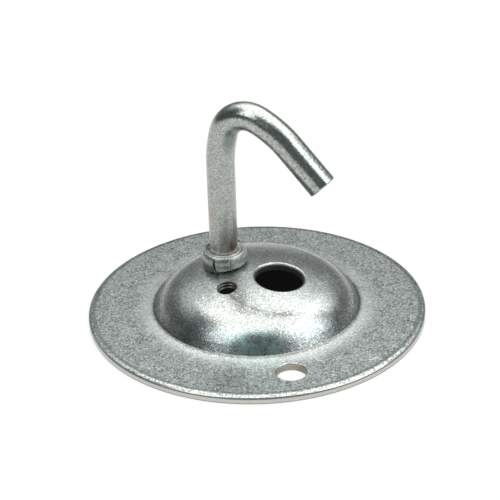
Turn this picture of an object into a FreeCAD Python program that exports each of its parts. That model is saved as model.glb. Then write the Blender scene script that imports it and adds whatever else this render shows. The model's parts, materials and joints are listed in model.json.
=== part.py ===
"""Ceiling hook: a bent steel rod riveted into a pressed round plate.

The plate stands on its flange. The origin is the plate's centre on the flange's underside, +Z
points out of the ceiling and +X is the way the hook reaches.
"""
import FreeCAD, Part
import math
import os
import PartDesign
import Sketcher

Vector = FreeCAD.Vector

# Driving dimensions in millimetres and degrees: name, value, what it measures.
DIMENSIONS = [
    ("plate_dia", 65.0, "flange across"),
    ("sheet", 1.5, "sheet thickness"),
    ("edge_roll", 1.5, "radius of the flange's upper edge, drawn down by blanking"),
    ("edge_roll_angle", 37.0, "slope of that edge at its corner"),
    ("edge_rounding", 0.25, "rounding of the corner below it"),
    ("dome_height", 9.3, "top of the dome above the flange's underside"),
    ("crown_radius", 45.0, "radius of the dome's shallow crown"),
    ("shoulder_radius", 9.0, "outer radius between crown and wall"),
    ("wall_angle", 58.0, "slope of the dome's wall below horizontal"),
    ("foot_dia", 40.3, "circle of the turn at the dome's foot"),
    ("rise_radius", 16.0, "outer radius of the flange's soft rise to the dome"),
    ("rise_angle", 8.0, "slope of that rise at the dome"),
    ("foot_radius", 0.6, "outer radius between that rise and the wall"),
    ("fixing_circle", 50.8, "circle of the fixing holes"),
    ("fixing_dia", 5.5, "fixing hole"),
    ("fixing_count", 2, "fixing holes on their circle"),
    ("fixing_angle", -49.2, "first fixing hole, from the way the hook reaches"),
    ("fixing_rounding", 0.25, "rounding of the fixing holes' upper edge"),
    ("cable_dia", 9.3, "cable hole"),
    ("cable_offset", 5.35, "cable hole from the plate's centre"),
    ("cable_angle", -5.0, "cable hole, from the way the hook reaches"),
    ("cable_rounding", 0.5, "rounding of the cable hole's upper edge"),
    ("screw_dia", 4.0, "tapped hole at its thread's nominal diameter"),
    ("screw_offset", 8.2, "tapped hole from the plate's centre"),
    ("screw_angle", -105.0, "tapped hole, from the way the hook reaches"),
    ("rod_dia", 5.4, "hook rod"),
    ("shank_offset", 6.74, "shank behind the plate's centre"),
    ("rivet_play", 0.2, "gap round the rod in its hole, which the riveting fills"),
    ("bend_start", 29.7, "height at which the shank starts to bend"),
    ("lean_radius", 25.8, "gentle start of the bend, at the rod's middle"),
    ("lean_angle", 15.9, "turn of that start"),
    ("crook_radius", 5.2, "tight part of the bend, at the rod's middle"),
    ("crook_angle", 98.1, "turn of the tight part"),
    ("reach_radius", 21.3, "wide end of the bend, at the rod's middle"),
    ("reach_angle", 21.4, "turn of the wide end"),
    ("tip_length", 9.07, "straight end of the hook"),
    ("tip_edge", 0.25, "rounding of the cut end"),
    ("collar_dia", 8.9, "upset collar across its bulge"),
    ("collar_bulge", 2.4, "radius of the collar's bulged side"),
    ("collar_foot", 8.4, "collar's foot and riveted head across"),
    ("collar_seat", 7.4, "collar's contact on the dome across"),
    ("collar_gap", 0.3, "gap between the dome and the collar's edge, round that contact"),
    ("collar_height", 3.1, "collar above the dome at the shank's middle"),
    ("collar_round", 0.5, "outer edge of the collar's top"),
    ("collar_groove", 0.35, "depth of the groove between the collar's rim and the rod"),
    ("head_height", 2.0, "riveted head under the dome at the shank's middle"),
    ("head_round", 1.2, "edge of the riveted head"),
]

# Lengths worked out from the driving dimensions: name, formula, what it measures.
DERIVED = [
    ("shank_x", "=-shank_offset", "shank along the hook's reach"),
    ("crown_centre", "=dome_height - crown_radius", "height of the crown's centre"),
    ("cable_tilt", "=asin(cable_offset / crown_radius)", "lean of the cable hole"),
    ("screw_tilt", "=asin(screw_offset / crown_radius)", "lean of the tapped hole"),
    ("fixing_x", "=fixing_circle / 2 * cos(fixing_angle)", "first fixing hole along the reach"),
    ("fixing_y", "=fixing_circle / 2 * sin(fixing_angle)", "first fixing hole across the reach"),
    ("seat_height", "=dome_height - crown_radius + sqrt(crown_radius^2 - shank_offset^2)",
     "dome's outside at the shank's middle"),
    ("collar_top", "=seat_height + collar_height", "top of the collar"),
    ("head_low", "=seat_height - sheet - head_height", "lowest point of the riveted head"),
    ("rod_start", "=seat_height - sheet", "rod's lower end, inside the riveted head"),
    ("rivet_dia", "=rod_dia + 2 * rivet_play", "rivet hole"),
    ("bulge_height", "=seat_height + collar_height / 2", "widest place of the collar"),
    ("bulge_centre", "=collar_dia / 2 - collar_bulge", "centre of the bulge from the rod's middle"),
    ("rim_radius", "=bulge_centre + sqrt((collar_bulge - collar_round)^2"
     " - (collar_height / 2 - collar_round)^2)", "crest of the collar's rim"),
    ("groove_radius", "=(rod_dia / 2 + rim_radius) / 2", "bottom of the collar's groove"),
]

# A sketch's numbers for a curve's points and for its own axes, whose first one starts at the origin.
START, END, CENTRE = range(1, 4)
X_AXIS, Y_AXIS = range(-1, -3, -1)
ORIGIN = X_AXIS
FULL_TURN = 360

doc = FreeCAD.newDocument("ceiling_hook")
sizes = doc.addObject("Spreadsheet::Sheet", "sizes")
for row, (name, value, meaning) in enumerate(DIMENSIONS + DERIVED, start=1):
    sizes.set("A%d" % row, meaning)
    sizes.set("B%d" % row, str(value))
    sizes.setAlias("B%d" % row, name)
doc.recompute()


def size(expression):
    """Value of an expression on the sheet's names."""
    return float(sizes.evalExpression(expression))


def bound(expression):
    """The same expression with each name led back to the sheet."""
    words = expression.split(" ")
    return " ".join("sizes." + word if word[0].isalpha() else word for word in words)


def polar(centre, radius, angle):
    """Point at an angle in degrees round a centre."""
    return centre + Vector(radius * math.cos(math.radians(angle)),
                           radius * math.sin(math.radians(angle)), 0)


def origin_feature(body, role):
    """Plane or axis of a body's own origin."""
    return [feature for feature in body.Origin.OriginFeatures if feature.Role == role][0]


class Outline:
    """A sketch whose lines and arcs have names and whose sizes follow the sheet."""

    def __init__(self, body, name, role):
        self.sketch = body.newObject("Sketcher::SketchObject", name)
        self.sketch.AttachmentSupport = (origin_feature(body, role), [""])
        self.sketch.MapMode = "FlatFace"
        self.index = {}

    def line(self, name, start, end):
        self.index[name] = self.sketch.addGeometry(Part.LineSegment(start, end), False)

    def arc(self, name, centre, radius, first, last):
        circle = Part.Circle(centre, Vector(0, 0, 1), radius)
        shape = Part.ArcOfCircle(circle, math.radians(first), math.radians(last))
        self.index[name] = self.sketch.addGeometry(shape, False)

    def circle(self, name, centre, diameter):
        shape = Part.Circle(centre, Vector(0, 0, 1), size(diameter) / 2)
        self.index[name] = self.sketch.addGeometry(shape, False)
        self.bind("Diameter", (name,), diameter)

    def rule(self, kind, *where):
        """Constraint without a size, on the named geometry."""
        items = [self.index.get(item, item) for item in where]
        self.sketch.addConstraint(Sketcher.Constraint(kind, *items))

    def bind(self, kind, where, expression):
        """Constraint whose size follows an expression on the sheet's names."""
        items = [self.index.get(item, item) for item in where]
        value = size(expression)
        if kind == "Angle":
            value = math.radians(value)
        number = self.sketch.addConstraint(Sketcher.Constraint(kind, *items, value))
        label = "%s_%d" % (kind.lower(), number)
        self.sketch.renameConstraint(number, label)
        unit = " * 1 deg" if kind == "Angle" else ""
        self.sketch.setExpression("Constraints." + label, "(" + bound(expression) + ")" + unit)


def new_body(name):
    body = doc.addObject("PartDesign::Body", name)
    body.Label = name
    return body


def revolve(body, sketch):
    """Solid of revolution about the sketch's upright axis."""
    turned = body.newObject("PartDesign::Revolution", sketch.Name + "_turned")
    turned.Profile = sketch
    turned.ReferenceAxis = (sketch, ["V_Axis"])
    turned.Angle = FULL_TURN
    doc.recompute()


def plate_section(body):
    """Half of the pressed sheet's section, from the dome's top to the flange's rim."""
    thick, wall, top = size("sheet"), size("wall_angle"), size("dome_height")
    rim, foot = size("plate_dia / 2"), size("foot_dia / 2")
    outwards = polar(Vector(), 1, 90 - wall)
    crown_c = Vector(0, size("dome_height - crown_radius"), 0)
    rise, roll = size("rise_angle"), size("edge_roll_angle")
    to_foot = polar(Vector(), size("rise_radius - foot_radius"), 270 - rise)
    rise_c = Vector(foot - to_foot.x, size("sheet + rise_radius"), 0)
    foot_c = rise_c + to_foot
    to_corner = polar(Vector(), size("edge_roll - edge_rounding"), 90 - roll)
    roll_c = Vector(size("plate_dia / 2 - edge_rounding") - to_corner.x, size("sheet - edge_roll"), 0)
    corner_c = roll_c + to_corner
    centres = size("crown_radius - shoulder_radius")
    wall_drop = outwards.dot(foot_c - crown_c) - size("foot_radius + shoulder_radius")
    crown_half = wall - math.degrees(math.acos(wall_drop / centres))
    shoulder_c = polar(crown_c, centres, 90 - crown_half)

    out = Outline(body, "section", "YZ_Plane")
    for side, inwards in (("outer", 0), ("inner", thick)):
        shoulder_r = size("shoulder_radius") - inwards
        foot_r, rise_r = size("foot_radius") + inwards, size("rise_radius") + inwards
        out.arc("crown_" + side, crown_c, size("crown_radius") - inwards, 90 - crown_half, 90)
        out.arc("shoulder_" + side, shoulder_c, shoulder_r, 90 - wall, 90 - crown_half)
        out.line("wall_" + side, polar(shoulder_c, shoulder_r, 90 - wall),
                 polar(foot_c, foot_r, 270 - wall))
        out.arc("foot_" + side, foot_c, foot_r, 270 - wall, 270 - rise)
        out.arc("rise_" + side, rise_c, rise_r, 270 - rise, 270)
        out.rule("Tangent", "crown_" + side, START, "shoulder_" + side, END)
        out.rule("Tangent", "shoulder_" + side, START, "wall_" + side, START)
        out.rule("Tangent", "wall_" + side, END, "foot_" + side, START)
        out.rule("Tangent", "foot_" + side, END, "rise_" + side, START)
    out.line("flange", Vector(rise_c.x, thick, 0), Vector(roll_c.x, thick, 0))
    out.arc("roll", roll_c, size("edge_roll"), 90 - roll, 90)
    out.arc("corner", corner_c, size("edge_rounding"), 0, 90 - roll)
    out.line("rim", Vector(rim, corner_c.y, 0), Vector(rim, 0, 0))
    out.line("underside", Vector(rim, 0, 0), Vector(rise_c.x, 0, 0))
    out.line("middle", Vector(0, top - thick, 0), Vector(0, top, 0))
    out.rule("Tangent", "rise_outer", END, "flange", START)
    out.rule("Tangent", "flange", END, "roll", END)
    out.rule("Tangent", "roll", START, "corner", END)
    out.rule("Tangent", "corner", START, "rim", START)
    out.rule("Coincident", "rim", END, "underside", START)
    out.rule("Tangent", "underside", END, "rise_inner", END)
    out.rule("Coincident", "crown_inner", END, "middle", START)
    out.rule("Coincident", "middle", END, "crown_outer", END)
    out.rule("Coincident", "crown_inner", CENTRE, "crown_outer", CENTRE)
    out.rule("PointOnObject", "crown_outer", CENTRE, Y_AXIS)
    out.rule("PointOnObject", "middle", START, Y_AXIS)
    out.rule("PointOnObject", "middle", END, Y_AXIS)
    out.rule("Horizontal", "flange")
    out.rule("Vertical", "rim")
    out.rule("Horizontal", "underside")
    out.rule("PointOnObject", "underside", START, X_AXIS)
    out.rule("Parallel", "wall_inner", "wall_outer")

    out.bind("DistanceY", (ORIGIN, START, "middle", END), "dome_height")
    out.bind("Radius", ("crown_outer",), "crown_radius")
    out.bind("Radius", ("crown_inner",), "crown_radius - sheet")
    out.bind("Radius", ("shoulder_outer",), "shoulder_radius")
    out.bind("Radius", ("shoulder_inner",), "shoulder_radius - sheet")
    out.bind("Radius", ("foot_outer",), "foot_radius")
    out.bind("Radius", ("foot_inner",), "foot_radius + sheet")
    out.bind("Radius", ("rise_outer",), "rise_radius")
    out.bind("Radius", ("rise_inner",), "rise_radius + sheet")
    out.bind("Angle", ("rise_outer",), "rise_angle")
    out.bind("Angle", ("rise_inner",), "rise_angle")
    out.bind("Radius", ("roll",), "edge_roll")
    out.bind("Angle", ("roll",), "edge_roll_angle")
    out.bind("Radius", ("corner",), "edge_rounding")
    out.bind("Angle", ("wall_outer",), "-1 * wall_angle")
    out.bind("Distance", ("wall_inner", START, "wall_outer"), "sheet")
    out.bind("DistanceX", (ORIGIN, START, "rim", END), "plate_dia / 2")
    out.bind("DistanceX", (ORIGIN, START, "foot_outer", CENTRE), "foot_dia / 2")
    out.bind("DistanceY", (ORIGIN, START, "flange", START), "sheet")
    return out.sketch


def pierce(body, name, out):
    """Cut a sketched hole upwards through the sheet."""
    before = body.Shape.Volume
    pocket = body.newObject("PartDesign::Pocket", name + "_cut")
    pocket.Profile = out.sketch
    pocket.Type = "ThroughAll"
    pocket.Reversed = True
    doc.recompute()
    if not body.Shape.Volume < before:
        raise ValueError(name + " cuts nothing")
    return pocket


def pierce_upright(body, name, diameter, along, across=None):
    """Hole parallel to the plate's axis; with no across it lies on the hook's line."""
    out = Outline(body, name, "XY_Plane")
    out.circle("hole", Vector(size(along), size(across) if across else 0, 0), diameter)
    out.bind("DistanceX", (ORIGIN, START, "hole", CENTRE), along)
    if across:
        out.bind("DistanceY", (ORIGIN, START, "hole", CENTRE), across)
    else:
        out.rule("PointOnObject", "hole", CENTRE, X_AXIS)
    return pierce(body, name, out)


def pierce_crown(body, name, diameter, tilt, angle):
    """Hole square to the crown, on a line from the crown's centre."""
    out = Outline(body, name, "XY_Plane")
    out.circle("hole", Vector(), diameter)
    out.rule("Coincident", "hole", CENTRE, ORIGIN, START)
    lean = FreeCAD.Rotation(polar(Vector(), 1, angle + 90), size(tilt))
    out.sketch.AttachmentOffset = FreeCAD.Placement(Vector(0, 0, size("crown_centre")), lean)
    out.sketch.setExpression("AttachmentOffset.Base.z", "sizes.crown_centre")
    out.sketch.setExpression("AttachmentOffset.Rotation.Angle", "sizes.%s * 1 deg" % tilt)
    return pierce(body, name, out)


def upper_rims(shape, wall_radius, from_axis):
    """Names of the upper edges of the upright or leaning holes that match both lengths."""
    found = []
    for face in shape.Faces:
        wall = face.Surface
        if not isinstance(wall, Part.Cylinder) or not math.isclose(wall.Radius, wall_radius):
            continue
        middle = face.CenterOfMass
        if not math.isclose(math.hypot(middle.x, middle.y), from_axis, abs_tol=wall_radius / 2):
            continue
        found += [edge for edge in face.Edges
                  if edge.CenterOfMass.z > middle.z and not isinstance(edge.Curve, Part.Line)]
    return ["Edge%d" % number for number, edge in enumerate(shape.Edges, start=1)
            if any(edge.isSame(rim) for rim in found)]


def ease_rims(body, name, diameter, from_axis, radius):
    """Round the upper edge that the piercing punch drew in."""
    base = body.Tip
    fillet = body.newObject("PartDesign::Fillet", name)
    fillet.Base = (base, upper_rims(base.Shape, size(diameter) / 2, size(from_axis)))
    fillet.setExpression("Radius", "sizes." + radius)
    doc.recompute()


def make_plate():
    """Pressed plate: flange, dome and the holes pierced through them."""
    body = new_body("plate")
    revolve(body, plate_section(body))
    pierce_crown(body, "cable_hole", "cable_dia", "cable_tilt", size("cable_angle"))
    ease_rims(body, "cable_rim", "cable_dia", "cable_offset", "cable_rounding")
    first = pierce_upright(body, "fixing_hole", "fixing_dia", "fixing_x", "fixing_y")
    pattern = body.newObject("PartDesign::PolarPattern", "fixing_holes")
    pattern.Originals = [first]
    pattern.Axis = (origin_feature(body, "Z_Axis"), [""])
    pattern.Angle = FULL_TURN
    pattern.setExpression("Occurrences", "sizes.fixing_count")
    body.Tip = pattern
    doc.recompute()
    ease_rims(body, "fixing_rims", "fixing_dia", "fixing_circle / 2", "fixing_rounding")
    pierce_crown(body, "screw_hole", "screw_dia", "screw_tilt", size("screw_angle"))
    pierce_upright(body, "rivet_hole", "rivet_dia", "shank_x")
    return body


def rod_path(body):
    """Middle line of the rod in its own plane: shank, three tangent arcs and the straight end."""
    out = Outline(body, "path", "XZ_Plane")
    point = Vector(0, size("bend_start"), 0)
    out.line("shank", Vector(0, size("rod_start"), 0), point)
    out.rule("PointOnObject", "shank", START, Y_AXIS)
    out.rule("Vertical", "shank")
    out.bind("DistanceY", (ORIGIN, START, "shank", START), "rod_start")
    out.bind("DistanceY", (ORIGIN, START, "shank", END), "bend_start")
    before, joint, heading = "shank", END, 180
    for bend in ("lean", "crook", "reach"):
        radius, angle = size(bend + "_radius"), size(bend + "_angle")
        centre = polar(point, radius, heading - 180)
        out.arc(bend, centre, radius, heading - angle, heading)
        out.rule("Tangent", before, joint, bend, END)
        out.bind("Radius", (bend,), bend + "_radius")
        out.bind("Angle", (bend,), bend + "_angle")
        heading -= angle
        point = polar(centre, radius, heading)
        before, joint = bend, START
    out.line("tip", point, polar(point, size("tip_length"), heading - 90))
    out.rule("Tangent", before, joint, "tip", START)
    out.bind("Distance", ("tip",), "tip_length")
    return out


def make_rod():
    """The hook's rod, swept along its path, with the cut end's edge eased."""
    body = new_body("rod")
    body.setExpression("Placement.Base.x", "sizes.shank_x")
    path = rod_path(body)
    section = Outline(body, "rod_section", "XY_Plane")
    section.circle("rod", Vector(), "rod_dia")
    section.rule("Coincident", "rod", CENTRE, ORIGIN, START)
    section.sketch.setExpression("AttachmentOffset.Base.z", "sizes.rod_start")
    doc.recompute()
    sweep = body.newObject("PartDesign::AdditivePipe", "rod_sweep")
    sweep.Profile = section.sketch
    sweep.Spine = (path.sketch, ["Edge%d" % (number + 1) for number in path.index.values()])
    doc.recompute()
    end = path.sketch.Geometry[path.index["tip"]].EndPoint
    tip = Vector(end.x, 0, end.y)
    edges = sweep.Shape.Edges
    nearest = min(range(len(edges)), key=lambda number: (edges[number].CenterOfMass - tip).Length)
    fillet = body.newObject("PartDesign::Fillet", "tip_rounding")
    fillet.Base = (sweep, ["Edge%d" % (nearest + 1)])
    fillet.setExpression("Radius", "sizes.tip_edge")
    doc.recompute()
    return body


def make_upset():
    """Collar and riveted head on the shank, before the plate between them shapes both."""
    body = new_body("upset")
    body.setExpression("Placement.Base.x", "sizes.shank_x")
    foot, low, top = size("collar_foot / 2"), size("head_low"), size("collar_top")
    crest, groove, rod = size("rim_radius"), size("groove_radius"), size("rod_dia / 2")
    dip = size("collar_top - collar_groove")
    head_c = Vector(size("collar_foot / 2 - head_round"), size("head_low + head_round"), 0)
    bulge_c = Vector(size("bulge_centre"), size("bulge_height"), 0)
    round_c = Vector(crest, size("collar_top - collar_round"), 0)
    under = math.degrees(math.acos((foot - bulge_c.x) / size("collar_bulge")))
    over = math.degrees(math.atan2(round_c.y - bulge_c.y, round_c.x - bulge_c.x))
    out = Outline(body, "upset_section", "XZ_Plane")
    out.line("head", Vector(0, low, 0), Vector(head_c.x, low, 0))
    out.arc("head_edge", head_c, size("head_round"), 270, FULL_TURN)
    out.line("side", Vector(foot, head_c.y, 0), polar(bulge_c, size("collar_bulge"), -under))
    out.arc("bulge", bulge_c, size("collar_bulge"), -under, over)
    out.arc("rim", round_c, size("collar_round"), over, 90)
    out.line("dish", Vector(crest, top, 0), Vector(groove, dip, 0))
    out.line("root", Vector(groove, dip, 0), Vector(rod, top, 0))
    out.line("inside", Vector(rod, top, 0), Vector(0, top, 0))
    out.line("middle", Vector(0, top, 0), Vector(0, low, 0))
    out.rule("Tangent", "head", END, "head_edge", START)
    out.rule("Tangent", "head_edge", END, "side", START)
    out.rule("Coincident", "side", END, "bulge", START)
    out.rule("Tangent", "bulge", END, "rim", START)
    out.rule("Coincident", "rim", END, "dish", START)
    out.rule("Coincident", "dish", END, "root", START)
    out.rule("Coincident", "root", END, "inside", START)
    out.rule("Coincident", "inside", END, "middle", START)
    out.rule("Coincident", "middle", END, "head", START)
    out.rule("PointOnObject", "middle", START, Y_AXIS)
    out.rule("PointOnObject", "middle", END, Y_AXIS)
    out.rule("Horizontal", "head")
    out.rule("Horizontal", "inside")
    out.rule("Vertical", "side")
    out.rule("Vertical", "rim", CENTRE, "rim", END)
    out.bind("DistanceY", (ORIGIN, START, "head", START), "head_low")
    out.bind("Radius", ("head_edge",), "head_round")
    out.bind("DistanceX", (ORIGIN, START, "side", START), "collar_foot / 2")
    out.bind("Radius", ("bulge",), "collar_bulge")
    out.bind("DistanceX", (ORIGIN, START, "bulge", CENTRE), "bulge_centre")
    out.bind("DistanceY", (ORIGIN, START, "bulge", CENTRE), "bulge_height")
    out.bind("Radius", ("rim",), "collar_round")
    out.bind("DistanceY", (ORIGIN, START, "rim", END), "collar_top")
    out.bind("DistanceX", (ORIGIN, START, "root", START), "groove_radius")
    out.bind("DistanceY", (ORIGIN, START, "root", START), "collar_top - collar_groove")
    out.bind("DistanceX", (ORIGIN, START, "root", END), "rod_dia / 2")
    out.bind("DistanceY", (ORIGIN, START, "root", END), "collar_top")
    revolve(body, out.sketch)
    return body


def ball(name, radius):
    """Ball about the crown's centre."""
    solid = doc.addObject("Part::Sphere", name)
    solid.setExpression("Radius", bound(radius))
    solid.setExpression("Placement.Base.z", "sizes.crown_centre")
    return solid


def less(name, base, tool):
    """What one solid leaves of another."""
    rest = doc.addObject("Part::Cut", name)
    rest.Base = base
    rest.Tool = tool
    return rest


def make_gap():
    """Thin shell over the dome round the collar's contact, the gap under the collar's edge."""
    shell = less("gap_shell", ball("gap_top", "crown_radius + collar_gap"),
                 ball("gap_bottom", "crown_radius - sheet / 2"))
    contact = doc.addObject("Part::Cylinder", "gap_contact")
    contact.setExpression("Radius", bound("collar_seat / 2"))
    contact.setExpression("Height", "sizes.collar_top")
    contact.setExpression("Placement.Base.x", "sizes.shank_x")
    return less("gap", shell, contact)


def make_hook(plate):
    """Rod with its collar and riveted head, one piece of steel."""
    seated = less("seated_upset", make_upset(), plate)
    hook = doc.addObject("Part::Fuse", "hook")
    hook.Base = make_rod()
    hook.Tool = less("upset_with_gap", seated, make_gap())
    hook.Label = "hook"
    doc.recompute()
    return hook


plate = make_plate()
hook = make_hook(plate)
doc.recompute()

for item in doc.Objects:
    if "Invalid" in item.State or "Error" in item.State:
        raise ValueError("%s failed: %s" % (item.Name, item.State))
for item in (plate, hook):
    if item.Shape.isNull() or not item.Shape.isValid() or len(item.Shape.Solids) != 1:
        raise ValueError(item.Label + " is not one sound solid")

os.makedirs("parts", exist_ok=True)
for item in (plate, hook):
    item.Shape.exportStep("parts/%s.step" % item.Label)
    box = item.Shape.optimalBoundingBox()
    print("%s %.1f mm3, %.2f x %.2f x %.2f mm" %
          (item.Label, item.Shape.Volume, box.XLength, box.YLength, box.ZLength))
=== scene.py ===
# %% [markdown]
# # A ceiling hook on a pressed plate
# The real thing is two pieces of zinc-plated steel: a round plate with a shallow dome, and a bent
# rod that is riveted through the top of the dome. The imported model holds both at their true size,
# so this script loads it as a fixed frame and gives it its finish, its split collar, its thread,
# its light and the view of the photograph. Blender counts in metres, and MM turns millimetres into
# metres.

# %% Load the frame
import json
import math

import bmesh
import bpy
from mathutils import Matrix, Vector


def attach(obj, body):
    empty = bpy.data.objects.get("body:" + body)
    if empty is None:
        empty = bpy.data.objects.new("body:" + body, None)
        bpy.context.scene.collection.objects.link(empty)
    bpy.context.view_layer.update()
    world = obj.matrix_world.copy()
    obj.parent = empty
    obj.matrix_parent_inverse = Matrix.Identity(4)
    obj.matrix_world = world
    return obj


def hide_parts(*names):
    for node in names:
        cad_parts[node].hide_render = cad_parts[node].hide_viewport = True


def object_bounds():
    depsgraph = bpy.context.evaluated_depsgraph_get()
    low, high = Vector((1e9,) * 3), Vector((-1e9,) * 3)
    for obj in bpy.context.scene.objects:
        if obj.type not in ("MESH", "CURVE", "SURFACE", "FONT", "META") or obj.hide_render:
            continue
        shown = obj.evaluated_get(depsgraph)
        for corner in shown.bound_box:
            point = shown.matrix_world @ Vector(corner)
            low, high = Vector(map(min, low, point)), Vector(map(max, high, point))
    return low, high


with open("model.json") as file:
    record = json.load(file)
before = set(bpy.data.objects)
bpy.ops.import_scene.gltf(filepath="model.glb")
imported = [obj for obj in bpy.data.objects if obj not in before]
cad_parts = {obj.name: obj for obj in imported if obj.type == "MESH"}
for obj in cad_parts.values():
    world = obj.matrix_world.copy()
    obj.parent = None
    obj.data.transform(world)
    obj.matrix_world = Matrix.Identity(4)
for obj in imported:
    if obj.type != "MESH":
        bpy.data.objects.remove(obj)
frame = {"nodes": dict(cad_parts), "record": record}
cad_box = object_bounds()
plate, hook = frame["nodes"]["plate"], frame["nodes"]["hook"]
mounts = {mount["name"]: mount for mount in frame["record"]["mounts"]}
MM = 0.001
print("pieces:", sorted(frame["nodes"]), "mounts:", sorted(mounts))


# %% Object helpers
def add_object(name, data):
    """New object at the origin, linked to the scene."""
    made = bpy.data.objects.new(name, data)
    bpy.context.scene.collection.objects.link(made)
    return made


def close_mesh(shape, name):
    """New mesh from a bmesh, which is freed."""
    made = bpy.data.meshes.new(name)
    shape.to_mesh(made)
    shape.free()
    return made


print("object helpers ready")

# %% [markdown]
# ## The view
# The photograph was taken from a little above, with a long lens. A camera could be placed by eye,
# but a chain of plain turns is easier to correct. A camera that starts out looking straight down is
# tipped up to the viewing height, turned round the plate's axis and rolled a little. It then steps
# back until the plate's centre stands at its place in the picture, so the lens needs no shift.

# %% Camera
PHOTO_SIDE = 500
FOCAL_PIXELS = 1500
CENTRE_RIGHT, CENTRE_DOWN = 6.9, 59.3
VIEW_DISTANCE = 291.2 * MM
VIEW_TURN, VIEW_HEIGHT, VIEW_ROLL = (math.radians(angle) for angle in (27.7, 28.47, -1.8))

view_turn = Matrix.Rotation(VIEW_TURN, 4, "Z")
view_tilt = Matrix.Rotation(math.pi / 2 - VIEW_HEIGHT, 4, "X")
view_roll = Matrix.Rotation(VIEW_ROLL, 4, "Z")
per_pixel = VIEW_DISTANCE / FOCAL_PIXELS
step_back = Matrix.Translation((-CENTRE_RIGHT * per_pixel, CENTRE_DOWN * per_pixel, VIEW_DISTANCE))
lens = bpy.data.cameras.new("photo_lens")
lens.lens = lens.sensor_width * FOCAL_PIXELS / PHOTO_SIDE
camera = add_object("photo_camera", lens)
camera.matrix_world = view_turn @ view_tilt @ view_roll @ step_back
bpy.context.scene.camera = camera
bpy.context.scene.view_settings.view_transform = "Standard"
print("camera at", [round(value, 4) for value in camera.matrix_world.translation], "lens", lens.lens)

# %% [markdown]
# ## Sums on sockets
# A finish is easier to read as a sum than as a heap of nodes. The small class below wraps the
# output of a node, and each operator on it adds the Math node that does it. Every other node comes
# from one method, which takes the node's kind, its settings and what goes into its sockets.


# %% Node helpers
class Wire:
    """Output of a node that can stand in a sum."""

    def __init__(self, finish, socket):
        self.finish, self.socket = finish, socket

    def sum(self, operation, *terms):
        return self.finish.node("ShaderNodeMath", {"operation": operation}, dict(enumerate(terms)))

    def __add__(self, other):
        return self.sum("ADD", self, other)

    def __radd__(self, other):
        return self.sum("ADD", other, self)

    def __sub__(self, other):
        return self.sum("SUBTRACT", self, other)

    def __rsub__(self, other):
        return self.sum("SUBTRACT", other, self)

    def __mul__(self, other):
        return self.sum("MULTIPLY", self, other)

    def __rmul__(self, other):
        return self.sum("MULTIPLY", other, self)

    def __abs__(self):
        return self.sum("ABSOLUTE", self)

    def rise(self, low, high):
        """Smooth step from 0 at low to 1 at high."""
        return self.finish.node("ShaderNodeMapRange", {"interpolation_type": "SMOOTHSTEP"},
                                {"Value": self, "From Min": low, "From Max": high})


class Finish:
    """Node tree of a material or of the world."""

    def __init__(self, owner):
        owner.use_nodes = True
        self.owner, self.tree = owner, owner.node_tree

    def node(self, kind, settings=None, inputs=None, output=0):
        made = self.tree.nodes.new(kind)
        for name, value in (settings or {}).items():
            setattr(made, name, value)
        for name, value in (inputs or {}).items():
            self.feed(made.inputs[name], value)
        return Wire(self, made.outputs[output])

    def feed(self, socket, value):
        if isinstance(value, Wire):
            self.tree.links.new(value.socket, socket)
        else:
            socket.default_value = value

    def noise(self, place, scale, detail=2.0, roughness=0.5):
        return self.node("ShaderNodeTexNoise", None, {"Vector": place, "Scale": scale,
                                                      "Detail": detail, "Roughness": roughness})

    def mix(self, factor, first, second):
        return self.node("ShaderNodeMix", {"data_type": "RGBA"},
                         {"Factor": factor, 6: first, 7: second}, output=2)

    def vector(self, operation, first, second=(0, 0, 0), output=0):
        return self.node("ShaderNodeVectorMath", {"operation": operation},
                         {0: first, 1: second}, output)

    def along(self, place, way):
        """How far a place lies along a direction."""
        return self.vector("DOT_PRODUCT", place, way, output="Value")

    def length(self, place):
        return self.vector("LENGTH", place, output="Value")


print("node helpers ready")

# %% [markdown]
# ## The floor
# The photograph has a plain white ground. A floor could be lit until it is white, but the same
# light would burn out the metal. So the floor is a matt white that also glows softly where the
# camera or a reflection meets it: it stays white and keeps a faint shadow. It doesn't glow under
# the dome, where the photograph is black, and there it is painted near black as shade.

# %% Floor
FLOOR_RADIUS = 4.0
FLOOR_SIDES = 96
FLOOR_GAP = 0.05 * MM
DOME_FOOT = 20.5 * MM
GLOW_SHARE, INSIDE_GLOW = 0.85, 0.004
# The dark paper is painted shade: the floor under the dome is near black.
PALE_PAPER, SHADE_PAPER = (0.85, 0.85, 0.85, 1), (0.06, 0.06, 0.06, 1)

floor_shape = bmesh.new()
bmesh.ops.create_circle(floor_shape, cap_ends=True, segments=FLOOR_SIDES, radius=FLOOR_RADIUS,
                        matrix=Matrix.Translation((0, 0, -FLOOR_GAP)))
floor = add_object("floor", close_mesh(floor_shape, "floor"))

paper = Finish(bpy.data.materials.new("white_paper"))
paper.tree.nodes.remove(paper.tree.nodes["Principled BSDF"])
camera_ray, glossy_ray, clear_ray = [paper.node("ShaderNodeLightPath", output="Is %s Ray" % ray)
                                     for ray in ("Camera", "Glossy", "Transmission")]
seen = camera_ray.sum("MAXIMUM", camera_ray, glossy_ray.sum("MAXIMUM", glossy_ray, clear_ray))
from_centre = paper.length(paper.node("ShaderNodeTexCoord", output="Object"))
outside = from_centre.sum("GREATER_THAN", from_centre, DOME_FOOT)
# Under the dome the floor's matt colour is painted near black as shade.
matt = paper.node("ShaderNodeBsdfDiffuse", None,
                  {"Color": paper.mix(outside, SHADE_PAPER, PALE_PAPER)})
glow = paper.node("ShaderNodeEmission", None, {"Color": (1, 1, 1, 1), "Strength": 1.0})
paper.feed(paper.tree.nodes["Material Output"].inputs["Surface"],
           paper.node("ShaderNodeMixShader", None,
                      {0: seen * (outside * GLOW_SHARE + INSIDE_GLOW), 1: matt, 2: glow}))
floor.data.materials.append(paper.owner)
print("floor of", FLOOR_RADIUS, "m")

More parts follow.
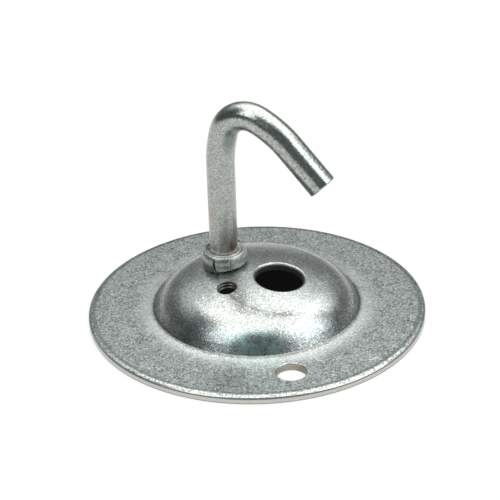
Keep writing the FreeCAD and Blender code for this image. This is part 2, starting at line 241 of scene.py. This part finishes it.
# %% [markdown]
# ## The light
# Bare metal shows what stands round it, so a lamp or two would leave it black with a few bright
# dots. The light is a small studio instead: a wide soft box overhead, a strip on either side of the
# camera and a smaller one behind on the right. Round them is a dim grey room, a little blue-green in
# front. It is brighter high up behind the plate, which is what the flange reflects.

# %% Soft boxes
# Each box: name, turn round the plate from straight behind it, height above the floor as an angle,
# turn about its own axis, distance, width, length, how bright its cloth is and the cloth's tint.
CLOTH_TO_POWER = 4.0
WARM, COOL = (1.0, 0.985, 0.955), (0.94, 1.0, 1.01)
SOFT_BOXES = [
    ("overhead", 33, 82.5, 33, 0.60, 0.77, 0.71, 1.84, WARM),
    ("right_strip", 112, 39, 0, 0.60, 0.42, 0.38, 2.2, COOL),
    ("back_strip", 64, 44, 0, 0.60, 0.18, 0.26, 1.2, WARM),
    ("left_strip", -132, 48, 0, 0.60, 0.24, 0.36, 2.1, COOL),
]

for name, turn, height, spin, distance, width, length, cloth, tint in SOFT_BOXES:
    lamp = bpy.data.lights.new(name, "AREA")
    lamp.shape, lamp.size, lamp.size_y = "RECTANGLE", width, length
    lamp.energy, lamp.color = cloth * width * length * CLOTH_TO_POWER, tint
    box = add_object(name, lamp)
    turned = view_turn @ Matrix.Rotation(math.radians(-turn), 4, "Z")
    tipped = Matrix.Rotation(math.radians(height - 90), 4, "X")
    own_turn = Matrix.Rotation(math.radians(spin), 4, "Z")
    box.matrix_world = turned @ tipped @ Matrix.Translation((0, 0, distance)) @ own_turn
    print(name, "at", [round(value, 2) for value in box.matrix_world.translation])

# %% Room
# A pair says where a part of the room starts and where it is full, on a scale from -1 to 1.
ROOM_GREY, ROOM_FRONT, ROOM_RIGHT, ROOM_BEHIND, ROOM_HIGH = 0.12, 0.05, 0.03, 0.18, 1.12
ROOM_TINT, FRONT_TINT = (0.94, 1.0, 0.985, 1), (0.80, 1.0, 1.0, 1)
TINT_SPAN, FRONT_SPAN, BEHIND_SPAN, HIGH_SPAN = (-0.3, 0.3), (-0.5, -1.0), (-0.1, 1.0), (0.43, 0.62)

room = Finish(bpy.data.worlds.new("room"))
bpy.context.scene.world = room.owner
way = room.node("ShaderNodeTexCoord", output="Generated")
to_back = room.along(way, (view_turn @ Vector((0, 1, 0)))[:3])
to_right = room.along(way, (view_turn @ Vector((1, 0, 0)))[:3])
upwards = room.along(way, (0, 0, 1))
background = room.tree.nodes["Background"]
room.feed(background.inputs["Color"], room.mix(to_back.rise(*TINT_SPAN), FRONT_TINT, ROOM_TINT))
room.feed(background.inputs["Strength"],
          ROOM_GREY + to_back.rise(*FRONT_SPAN) * ROOM_FRONT + to_right * ROOM_RIGHT
          + to_back.rise(*BEHIND_SPAN) * (ROOM_BEHIND + upwards.rise(*HIGH_SPAN) * ROOM_HIGH))
print("room of grey", ROOM_GREY)

# %% [markdown]
# ## Zinc
# Plated zinc is a metal with a dull, grainy skin. A picture of zinc could be wrapped round each
# piece, but a noise in the model's own coordinates has no seams and the same grain everywhere. The
# noise lifts and tilts the skin, which breaks the reflections into the sparkle that the photograph
# shows. Small cells give each grain a brightness of its own, and a coarser noise clouds the colour
# a little. Each piece then gets its own marks, as masks that pull the colour towards a tint.


# %% Zinc finish
class Zinc(Finish):
    """Grainy metal; marks are laid on it one by one, and done() closes it. Masks count in millimetres."""

    GRAIN_SHARE, CELL_SHARE, CLOUD_SHARE = 0.45, 0.35, 0.2
    CLOUD_SCALE, CLOUD_ROUGHNESS = 420, 0.2
    NOISE_MIDDLE, BREAK_SPAN = 0.5, (0.35, 0.6)

    def __init__(self, name, bright, dark, grain_scale, cell_scale, contrast):
        super().__init__(bpy.data.materials.new(name))
        self.place = self.node("ShaderNodeTexCoord", output="Object")
        self.spot = self.node("ShaderNodeVectorMath", {"operation": "SCALE"},
                              {0: self.place, "Scale": 1 / MM})
        grain_span = (self.NOISE_MIDDLE - contrast, self.NOISE_MIDDLE + contrast)
        self.grain = self.noise(self.place, grain_scale, roughness=0.6)
        self.cloud = self.noise(self.place, self.CLOUD_SCALE, detail=3.0, roughness=0.55)
        cell = self.node("ShaderNodeTexVoronoi", None, {"Vector": self.place, "Scale": cell_scale},
                         output="Color")
        brightness = (self.grain.rise(*grain_span) * self.GRAIN_SHARE
                      + cell.rise(*grain_span) * self.CELL_SHARE + self.cloud * self.CLOUD_SHARE)
        self.colour = self.mix(brightness, dark, bright)

    def patch(self, centre, reach):
        """Soft spot: 1 about its centre and 0 from its reach on."""
        off = self.vector("SUBTRACT", self.spot, centre)
        return self.length(self.vector("DIVIDE", off, reach)).rise(1.0, 0.2)

    def stroke(self, start, end, width):
        """Thin line between two points: 1 on the line and 0 beside it."""
        start, way = Vector(start), Vector(end) - Vector(start)
        off = self.vector("SUBTRACT", self.spot, start)
        along = self.along(off, way / way.length_squared)
        along = along.sum("MAXIMUM", along.sum("MINIMUM", along, 1.0), 0.0)
        foot = self.node("ShaderNodeVectorMath", {"operation": "SCALE"}, {0: way, "Scale": along})
        return self.vector("DISTANCE", off, foot, output="Value").rise(width, width / 4)

    def from_upright(self, centre):
        """Distance from an upright line through a point."""
        off = self.vector("SUBTRACT", self.spot, centre)
        return self.length(self.vector("MULTIPLY", off, (1, 1, 0)))

    def ring(self, centre, radius, width):
        """Thin upright ring about a point."""
        return abs(self.from_upright(centre) - radius).rise(width, width / 4)

    def broken(self, mask):
        """Mask broken up by the cloud."""
        return mask * self.cloud.rise(*self.BREAK_SPAN)

    def mark(self, mask, strength, tint):
        self.colour = self.mix(mask * strength, self.colour, tint)

    def done(self, roughness, relief, share):
        """Close the finish; share is how much of the relief each place has."""
        shader = self.tree.nodes["Principled BSDF"]
        self.feed(shader.inputs["Base Color"], self.colour)
        self.feed(shader.inputs["Metallic"], 1.0)
        self.feed(shader.inputs["Roughness"],
                  roughness + (self.cloud - self.NOISE_MIDDLE) * self.CLOUD_ROUGHNESS)
        self.feed(shader.inputs["Normal"],
                  self.node("ShaderNodeBump", None, {"Strength": 1.0, "Distance": relief * MM,
                                                     "Height": self.grain * share}))
        return self.owner


def dress(piece, material):
    piece.data.materials.clear()
    piece.data.materials.append(material)


print("zinc finish ready")

# %% [markdown]
# ## The plate's finish
# The dome was stretched smooth, so it is a more even grey than the flange. The turn at its foot is
# painted dark as shade, and just outside that turn a pale ring is painted as a halo of light. The
# flange's rolled edge is painted darker as shade, and its sheared side is smooth and pale with a
# dark line along it. A thin dark arc lies round the cable hole on the front of the dome, the hole's
# own edge is worn, and a blue-green reflection is painted on the front of the dome. The inside of
# the dome and the walls of the tapped hole are painted dark as shade. The walls of the fixing holes
# are browned, and the flange is scratched at its right. The marks could be painted by hand, but
# masks that follow the pressing's own radii and heights stay where the shape has them.

# %% Plate masks
# A pair says where a mask starts to rise and where it is full.
DOME_SPAN, INSIDE_DEPTH, TAPPED_DEPTH = (21, 17), (0.04, 0.4), (0.04, 0.2)
CROWN_CENTRE, CROWN_RADIUS, CROWN_SPAN = (0, 0, -35.7), 45.0, (13, 12)
FOOT_TURN, FOOT_SPAN = 19.86, (0.34, 0.16)
ROLL_INSET, ROLL_SPAN = 1.05, (0.45, 0.25)
SHEARED_INSET, LOWER_EDGE_SPAN = (0.2, 0.05), (0.2, 0.05)
TEAR_HEIGHT, TEAR_SPAN, TEAR_INSET = 0.98, (0.16, 0.06), (0.5, 0.3)
HALO_OUTER, HALO_INNER = (24.5, 20.5), (20.2, 20.6)
CABLE_HOLE, CABLE_EDGE = (5.2, -0.45, 0), 4.85
PLATE_SPECK_SCALE, SPECK_SPAN, SPARKLE_SPAN = 2200, (0.70, 0.78), (0.36, 0.28)
ARC_CENTRE, ARC_RADIUS, ARC_SPAN = (5.3, -0.5, 0), 10.8, (6, 9)
RING_WIDTH = 0.5
TAPPED_HOLE, TAPPED_REACH, TAPPED_SPAN = (-2.1, -7.85, 7.8), (5, 5, 5), (0.2, 0.5)

plate_skin = Zinc("plate_zinc", bright=(0.66, 0.685, 0.68, 1), dark=(0.07, 0.08, 0.083, 1),
                  grain_scale=3700, cell_scale=4000, contrast=0.14)
plate_radius = cad_box[1][0] / MM
from_axis = plate_skin.from_upright((0, 0, 0))
from_edge = plate_radius - from_axis
plate_height = plate_skin.along(plate_skin.spot, (0, 0, 1))
depth = CROWN_RADIUS - plate_skin.vector("DISTANCE", plate_skin.spot, CROWN_CENTRE, output="Value")
plate_speck = plate_skin.noise(plate_skin.place, PLATE_SPECK_SCALE, detail=1.0)

dome = from_axis.rise(*DOME_SPAN)
# The turn at the dome's foot is painted dark as shade.
foot_shade = abs(from_axis - FOOT_TURN).rise(*FOOT_SPAN)
# The pale ring just outside the dome's foot is a painted halo of light.
painted_halo = from_axis.rise(*HALO_OUTER) * from_axis.rise(*HALO_INNER)
# The rolled edge is painted darker all round as shade.
roll = abs(from_edge - ROLL_INSET).rise(*ROLL_SPAN)
sheared = from_edge.rise(*SHEARED_INSET)
tear = abs(plate_height - TEAR_HEIGHT).rise(*TEAR_SPAN) * from_edge.rise(*TEAR_INSET)
lower_edge = plate_height.rise(*LOWER_EDGE_SPAN) * sheared
# The inside of the dome is painted dark as shade.
inside = depth.rise(*INSIDE_DEPTH) * from_axis.rise(*CROWN_SPAN)
# The walls of the tapped hole are painted dark as shade.
tapped_wall = (depth.rise(*TAPPED_DEPTH)
               * plate_skin.patch(TAPPED_HOLE, TAPPED_REACH).rise(*TAPPED_SPAN))
front_arc = (plate_skin.ring(ARC_CENTRE, ARC_RADIUS, RING_WIDTH)
               * plate_skin.along(plate_skin.spot, (0, -1, 0)).rise(*ARC_SPAN))
print("plate radius:", round(plate_radius, 3), "mm")

# %% Plate marks
# The dark tint colours real specks and also paints shade in the dome's foot, its rolled edge, its inside,
# the tapped hole and the collar's lap.
DIRT_AND_SHADE, BRIGHT, SHEARED = (0.10, 0.10, 0.09, 1), (0.86, 0.88, 0.87, 1), (0.57, 0.57, 0.53, 1)
DOME_GREY, WORN = (0.40, 0.42, 0.41, 1), (0.33, 0.30, 0.26, 1)
TEAL_REFLECTION, BROWN = (0.45, 0.66, 0.64, 1), (0.19, 0.16, 0.08, 1)
# The teal patch is a painted blue-green reflection on the front of the dome.
TEAL_REFLECTION_PLACE, TEAL_REFLECTION_REACH = (8.2, -16.4, 3.8), (7.5, 5.0, 3.2)
FIXING_PLACES, FIXING_REACH = [(16.6, -19.2, 0.6), (-16.6, 19.2, 0.6)], (7, 7, 1.3)
SCRATCH_WIDTH = 0.16
SCRATCHES = [
    ((25.0, -11.6, 1.5), (28.6, -9.3, 1.5)),
    ((26.2, -9.0, 1.5), (29.0, -8.6, 1.5)),
    ((27.6, -9.8, 1.5), (29.6, -7.6, 1.5)),
    ((28.6, -6.0, 1.5), (30.4, -3.4, 1.5)),
]
PLATE_ROUGHNESS, DOME_POLISH, INSIDE_ROUGHNESS = 0.29, 0.04, 0.35
PLATE_RELIEF, DOME_SMOOTH = 0.038, 0.35

plate_skin.mark(dome, 0.42, DOME_GREY)
plate_skin.mark(plate_speck.rise(*SPECK_SPAN), 0.6, DIRT_AND_SHADE)
plate_skin.mark(plate_speck.rise(*SPARKLE_SPAN), 0.8, BRIGHT)
# Painted blue-green reflection on the front of the dome.
plate_skin.mark(plate_skin.broken(plate_skin.patch(TEAL_REFLECTION_PLACE, TEAL_REFLECTION_REACH)), 0.9, TEAL_REFLECTION)
# A thin dark arc round the cable hole, on the front of the dome only.
plate_skin.mark(plate_skin.broken(front_arc), 0.5, DIRT_AND_SHADE)
for start, end in SCRATCHES:
    plate_skin.mark(plate_skin.broken(plate_skin.stroke(start, end, SCRATCH_WIDTH)), 0.8, BRIGHT)
for place in FIXING_PLACES:
    plate_skin.mark(plate_skin.patch(place, FIXING_REACH), 1.0, BROWN)
# Painted shade in the turn at the dome's foot.
plate_skin.mark(foot_shade, 0.6, DIRT_AND_SHADE)
# Painted halo of light just outside the dome's foot.
plate_skin.mark(painted_halo, 0.4, BRIGHT)
# Painted shade on the flange's rolled edge.
plate_skin.mark(roll, 0.5, DIRT_AND_SHADE)
plate_skin.mark(sheared, 0.85, SHEARED)
plate_skin.mark(tear + lower_edge, 0.8, DIRT_AND_SHADE)
plate_skin.mark(plate_skin.ring(CABLE_HOLE, CABLE_EDGE, RING_WIDTH), 0.4, WORN)
# Painted shade inside the dome and on the cable hole's wall.
plate_skin.mark(inside, 0.65, DIRT_AND_SHADE)
# Painted shade on the walls of the tapped hole.
plate_skin.mark(tapped_wall, 0.85, DIRT_AND_SHADE)
dress(plate, plate_skin.done(
    roughness=PLATE_ROUGHNESS - dome * DOME_POLISH + inside * INSIDE_ROUGHNESS,
    relief=PLATE_RELIEF, share=1.0 - sheared - dome * DOME_SMOOTH))
print("plate finish:", len(plate_skin.tree.nodes), "nodes")

# %% [markdown]
# ## The rod's finish
# The drawn rod is smoother than the pressed plate, so its relief is lower and its grain finer, and
# only its collar is as rough. The rod is browned low on its right and half-way up on its left, and
# dull green inside the bend, where the green is darkened further as painted shade. Past the bend it
# is greyer, with coarse flecks that tear the edges of its reflections. The lap of the collar's rim
# and the groove beside it are painted dark as shade. One finish could serve both pieces, but the two
# are worn in different places.

# %% Rod marks
RUST, MOSS_AND_SHADE, REACH_GREY = (0.30, 0.25, 0.19, 1), (0.22, 0.28, 0.24, 1), (0.46, 0.48, 0.46, 1)
HOOK_STAINS_AND_SHADE = [
    ((-4.2, -0.6, 14.0), (2.2, 2.2, 6.0), RUST, 0.8),
    ((-8.3, -2.0, 20.0), (2.2, 2.2, 9.0), RUST, 0.55),
    # These two paint shade in the collar's lap and the groove beside it.
    ((-10.85, 0.0, 11.7), (1.5, 1.5, 1.2), DIRT_AND_SHADE, 1.6),
    ((-9.7, -0.8, 11.8), (0.8, 0.8, 0.8), DIRT_AND_SHADE, 1.6),
]
CROOK_PLACE, CROOK_REACH = (-3.7, -1.5, 35.6), (2.0, 2.0, 3.8)
REACH_SPAN, COLLAR_SPAN = (-6, 0), (12.6, 11.9)
ROD_SPECK_SCALE, FLECK_SCALE = 2400, 2100
DARK_FLECK_SPAN, PALE_FLECK_SPAN = (0.53, 0.66), (0.46, 0.34)
ROD_ROUGHNESS, COLLAR_ROUGHNESS, CROOK_ROUGHNESS = 0.22, 0.16, 0.25
ROD_RELIEF, ROD_SHARE, COLLAR_SHARE, FLECK_RELIEF = 0.04, 0.3, 0.7, 3.0

hook_skin = Zinc("hook_zinc", bright=(0.555, 0.578, 0.545, 1), dark=(0.20, 0.214, 0.192, 1),
                 grain_scale=5000, cell_scale=4200, contrast=0.16)
reach = hook_skin.along(hook_skin.spot, (1, 0, 0)).rise(*REACH_SPAN)
collar = hook_skin.along(hook_skin.spot, (0, 0, 1)).rise(*COLLAR_SPAN)
crook = hook_skin.patch(CROOK_PLACE, CROOK_REACH)
rod_speck = hook_skin.noise(hook_skin.place, ROD_SPECK_SCALE, detail=1.0)
fleck = hook_skin.noise(hook_skin.place, FLECK_SCALE)

hook_skin.mark(rod_speck.rise(*SPECK_SPAN), 0.6, DIRT_AND_SHADE)
for mark_centre, mark_reach, tint, strength in HOOK_STAINS_AND_SHADE:
    hook_skin.mark(hook_skin.broken(hook_skin.patch(mark_centre, mark_reach)), strength, tint)
# Inside the bend: a dull green tint, partly painted shade.
hook_skin.mark(crook, 0.75, MOSS_AND_SHADE)
hook_skin.mark(reach, 0.45, REACH_GREY)
hook_skin.mark(fleck.rise(*DARK_FLECK_SPAN) * reach, 0.35, DIRT_AND_SHADE)
hook_skin.mark(fleck.rise(*PALE_FLECK_SPAN) * reach, 0.2, BRIGHT)
hook_skin.grain = hook_skin.grain + fleck * reach * FLECK_RELIEF
hook_zinc = hook_skin.done(
    roughness=ROD_ROUGHNESS + collar * COLLAR_ROUGHNESS + crook * CROOK_ROUGHNESS,
    relief=ROD_RELIEF, share=ROD_SHARE + collar * COLLAR_SHARE)
dress(hook, hook_zinc)
print("rod finish:", len(hook_skin.tree.nodes), "nodes")

# %% [markdown]
# ## The split collar
# The collar was squeezed out of the rod cold, so its side has split in two places and its rim has a
# lap on the left. Dark lines could be painted there, but real cuts catch the light at their edges. A
# thin wedge is made for each split, narrower towards the rod. The rod's own mesh is copied and its
# loose triangles are merged, a Boolean takes the wedges away, and the copy stands for the rod.

# %% Split wedges
# Each split: direction round the shank, inner and outer radius, lowest and highest point, width and
# lean, in millimetres and degrees.
SHANK_PLACE = Vector((-6.74, 0, 0)) * MM
SPLITS = [
    (-88, 3.3, 4.8, 9.0, 11.5, 0.42, 7),
    (-47, 4.1, 4.8, 9.0, 11.2, 0.18, -4),
    (174, 2.8, 4.8, 10.9, 12.9, 0.90, 0),
]
INNER_SHARE = 0.3

wedge_shape = bmesh.new()
for turn, inner, outer, low, high, width, lean in SPLITS:
    corners = bmesh.ops.create_cube(wedge_shape, size=1.0)["verts"]
    for corner in corners:
        if corner.co.x < 0:
            corner.co.y *= INNER_SHARE
    bmesh.ops.scale(wedge_shape, vec=Vector((outer - inner, width, high - low)) * MM, verts=corners)
    wedge_place = (Matrix.Translation(SHANK_PLACE + Vector((0, 0, (low + high) / 2 * MM)))
                   @ Matrix.Rotation(math.radians(turn), 4, "Z")
                   @ Matrix.Translation(((inner + outer) / 2 * MM, 0, 0))
                   @ Matrix.Rotation(math.radians(lean), 4, "X"))
    bmesh.ops.transform(wedge_shape, matrix=wedge_place, verts=corners)
bmesh.ops.recalc_face_normals(wedge_shape, faces=wedge_shape.faces[:])
wedges = add_object("split_wedges", close_mesh(wedge_shape, "split_wedges"))
print("wedges:", len(SPLITS))

# %% Rod with its splits
MERGE_DISTANCE = 0.0001 * MM
SHARP_ANGLE = math.radians(30)

rod_shape = bmesh.new()
rod_shape.from_mesh(hook.data)
bmesh.ops.remove_doubles(rod_shape, verts=rod_shape.verts[:], dist=MERGE_DISTANCE)
whole_rod = add_object("whole_rod", close_mesh(rod_shape, "whole_rod"))
cut = whole_rod.modifiers.new("splits", "BOOLEAN")
cut.operation, cut.solver, cut.object = "DIFFERENCE", "EXACT", wedges
cut_rod = whole_rod.evaluated_get(bpy.context.evaluated_depsgraph_get())
split_mesh = bpy.data.meshes.new_from_object(cut_rod)
for spent in (whole_rod, wedges):
    bpy.data.objects.remove(spent)

split_mesh.name = "split_hook"
split_mesh.shade_smooth()
split_mesh.set_sharp_from_angle(angle=SHARP_ANGLE)
split_hook = add_object("split_hook", split_mesh)
split_hook.modifiers.new("even_normals", "WEIGHTED_NORMAL").keep_sharp = True
dress(split_hook, hook_zinc)
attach(split_hook, "root")
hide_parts("hook")
print("rod faces:", len(hook.data.polygons), "with splits:", len(split_mesh.polygons))

# %% [markdown]
# ## The thread
# The small hole is tapped, and two turns of its thread catch the light. Rings would look alike from
# afar, but a thread is a ridge wound round the hole, so one section of the ridge is spun with a
# small rise at each step. The spin runs past both sides of the sheet and is then cut off level with
# them. Its zinc is a darker copy of the plate's, painted as shade inside the hole.

# %% Thread
PITCH = 0.7 * MM
THREAD_TURNS = 4
STEPS_PER_TURN = 48
CREST_SHARE, ROOT_SHARE = 0.25, 0.875
THREAD_DEPTH = 0.26 * MM
BITE, THREAD_DROP = 0.01 * MM, 0.25 * MM

earth_hole = mounts["earth_hole"]
hole_radius = earth_hole["dims"]["r_mm"] * MM
half_sheet = earth_hole["dims"]["length_mm"] * MM / 2
hole_turn = Vector(earth_hole["axis"]).normalized().to_track_quat("Z", "Y").to_matrix().to_4x4()
hole_place = Matrix.Translation(earth_hole["pos_m"]) @ hole_turn

thread_shape = bmesh.new()
thread_start = -THREAD_TURNS * PITCH / 2 - THREAD_DROP
section = [thread_shape.verts.new((radius, 0, thread_start + side * share * PITCH / 2))
           for radius, side, share in ((hole_radius + BITE, -1, ROOT_SHARE),
                                       (hole_radius - THREAD_DEPTH, -1, CREST_SHARE),
                                       (hole_radius - THREAD_DEPTH, 1, CREST_SHARE),
                                       (hole_radius + BITE, 1, ROOT_SHARE))]
bmesh.ops.spin(thread_shape, geom=[thread_shape.faces.new(section)], cent=(0, 0, 0), axis=(0, 0, 1),
               angle=THREAD_TURNS * math.tau, steps=THREAD_TURNS * STEPS_PER_TURN,
               dvec=(0, 0, PITCH / STEPS_PER_TURN))
for side in (-1, 1):
    everything = thread_shape.verts[:] + thread_shape.edges[:] + thread_shape.faces[:]
    level = bmesh.ops.bisect_plane(thread_shape, geom=everything, plane_co=(0, 0, side * half_sheet),
                                   plane_no=(0, 0, side), clear_outer=True)
    open_edges = [item for item in level["geom_cut"] if isinstance(item, bmesh.types.BMEdge)]
    bmesh.ops.holes_fill(thread_shape, edges=open_edges)
bmesh.ops.recalc_face_normals(thread_shape, faces=thread_shape.faces[:])
bmesh.ops.transform(thread_shape, matrix=hole_place, verts=thread_shape.verts[:])

thread = add_object("earth_thread", close_mesh(thread_shape, "earth_thread"))
# A darker copy of the zinc: painted shade inside the hole.
shaded_thread_skin = Zinc("thread_zinc", bright=(0.22, 0.21, 0.19, 1), dark=(0.08, 0.08, 0.07, 1),
                   grain_scale=4200, cell_scale=4400, contrast=0.15)
dress(thread, shaded_thread_skin.done(roughness=0.45, relief=0.02, share=1.0))
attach(thread, "root")
print("thread faces:", len(thread.data.polygons))
